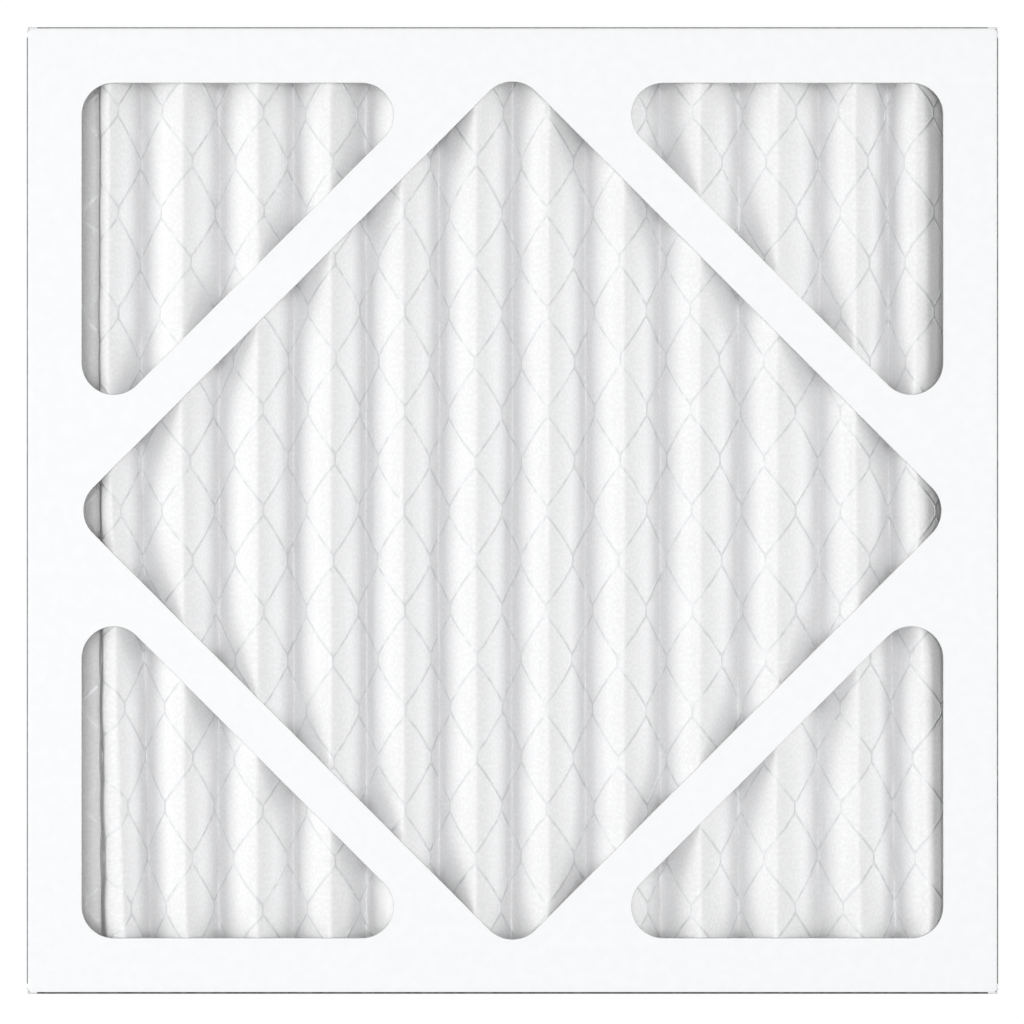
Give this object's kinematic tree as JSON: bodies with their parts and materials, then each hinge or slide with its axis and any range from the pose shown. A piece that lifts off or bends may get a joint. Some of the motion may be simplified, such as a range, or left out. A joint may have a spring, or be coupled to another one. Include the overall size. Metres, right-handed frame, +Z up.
{
  "type": "pleated panel air filter",
  "caption": "Shallow square panel air filter: accordion pleats of white non-woven media on a folded diamond-mesh grid, held in a die-cut board frame with diagonal straps.",
  "frame": {"origin": "middle of the rear face, on which the filter lies", "axes": "+Z up, out of the front face; +X across the pleats; +Y along the pleats"},
  "size_m": [0.2986, 0.297, 0.019],
  "materials": {
    "board": "smooth clay-coated white board, matt",
    "media": "soft white non-woven synthetic fibre",
    "grid_metal": "thin galvanised expanded metal",
    "adhesive": "translucent off-white hot-melt adhesive"
  },
  "bodies": {
    "root": {"front_frame": "board", "rear_frame": "board", "pleated_media": "media", "support_grid": "grid_metal", "adhesive_top": "adhesive", "adhesive_bottom": "adhesive", "adhesive_left": "adhesive", "adhesive_right": "adhesive"}
  },
  "joints": []
}
